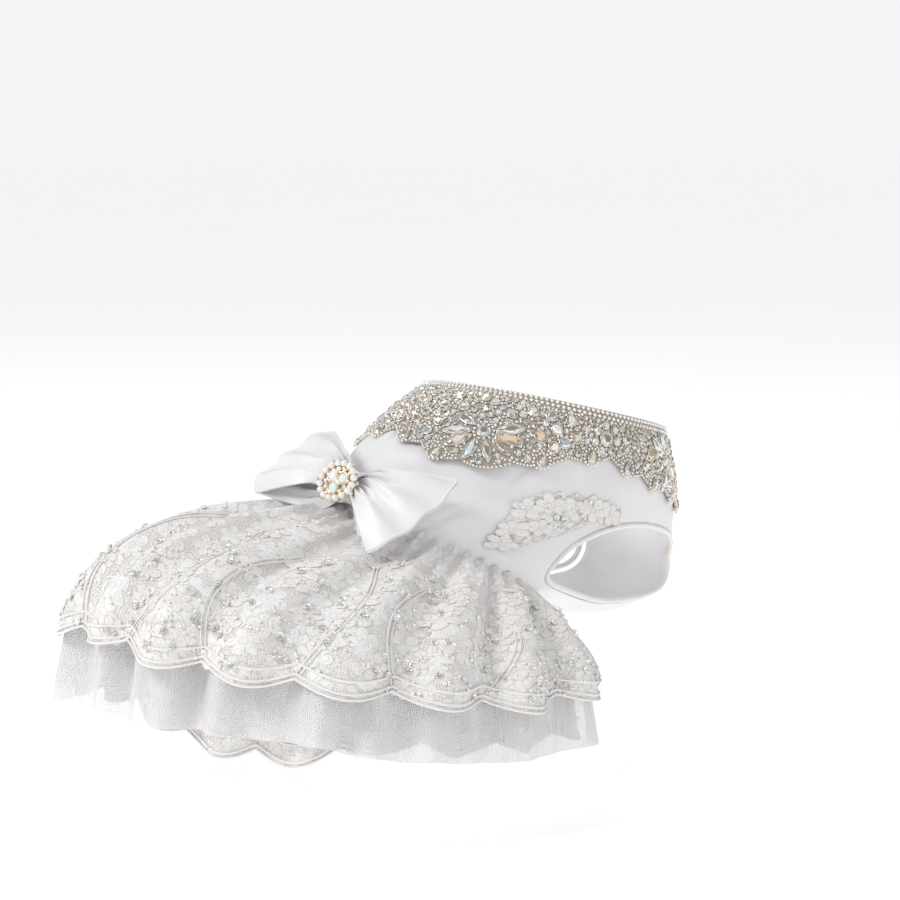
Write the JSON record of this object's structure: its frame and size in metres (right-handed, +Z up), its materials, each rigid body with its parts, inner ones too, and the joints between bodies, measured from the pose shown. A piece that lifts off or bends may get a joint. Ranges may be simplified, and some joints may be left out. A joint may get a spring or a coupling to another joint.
{
  "type": "dog dress",
  "caption": "Satin dog dress in its worn form, with a stone-set collar, two leg holes, a scalloped lace skirt over tulle and a back bow with a brooch.",
  "frame": {"origin": "centre of the neck opening, where the dress sits round the wearer's neck", "axes": "+X the way the wearer faces, +Y towards the wearer's left, +Z up; the body slopes down from the neck to the rear as on a sitting dog"},
  "size_m": [0.328, 0.2278, 0.1492],
  "materials": {
    "satin": "white bridal satin, soft sheen",
    "lace": "ivory corded lace, matte",
    "tulle": "sheer white tulle, matte",
    "net": "champagne net under the stones",
    "crystal": "clear cut glass stones in silver-champagne cups",
    "opal": "milky cabochon with a faint blue-green cast",
    "gold": "pale rose gold, polished"
  },
  "bodies": {
    "root": {"bodice": "satin", "leg_binding_right": "satin", "leg_binding_left": "satin", "collar": "net", "flower_right": "crystal", "flower_left": "crystal", "rosette_right": "crystal", "rosette_left": "crystal", "fan_right": "crystal", "fan_left": "crystal", "applique_right": "lace", "applique_left": "lace", "lace_skirt": "lace", "tulle_skirt": "tulle", "petticoat": "lace", "bow_loop_right": "satin", "bow_loop_left": "satin", "bow_knot": "satin", "brooch": "gold", "opal_1": "opal", "opal_2": "opal", "opal_3": "opal"}
  },
  "joints": []
}
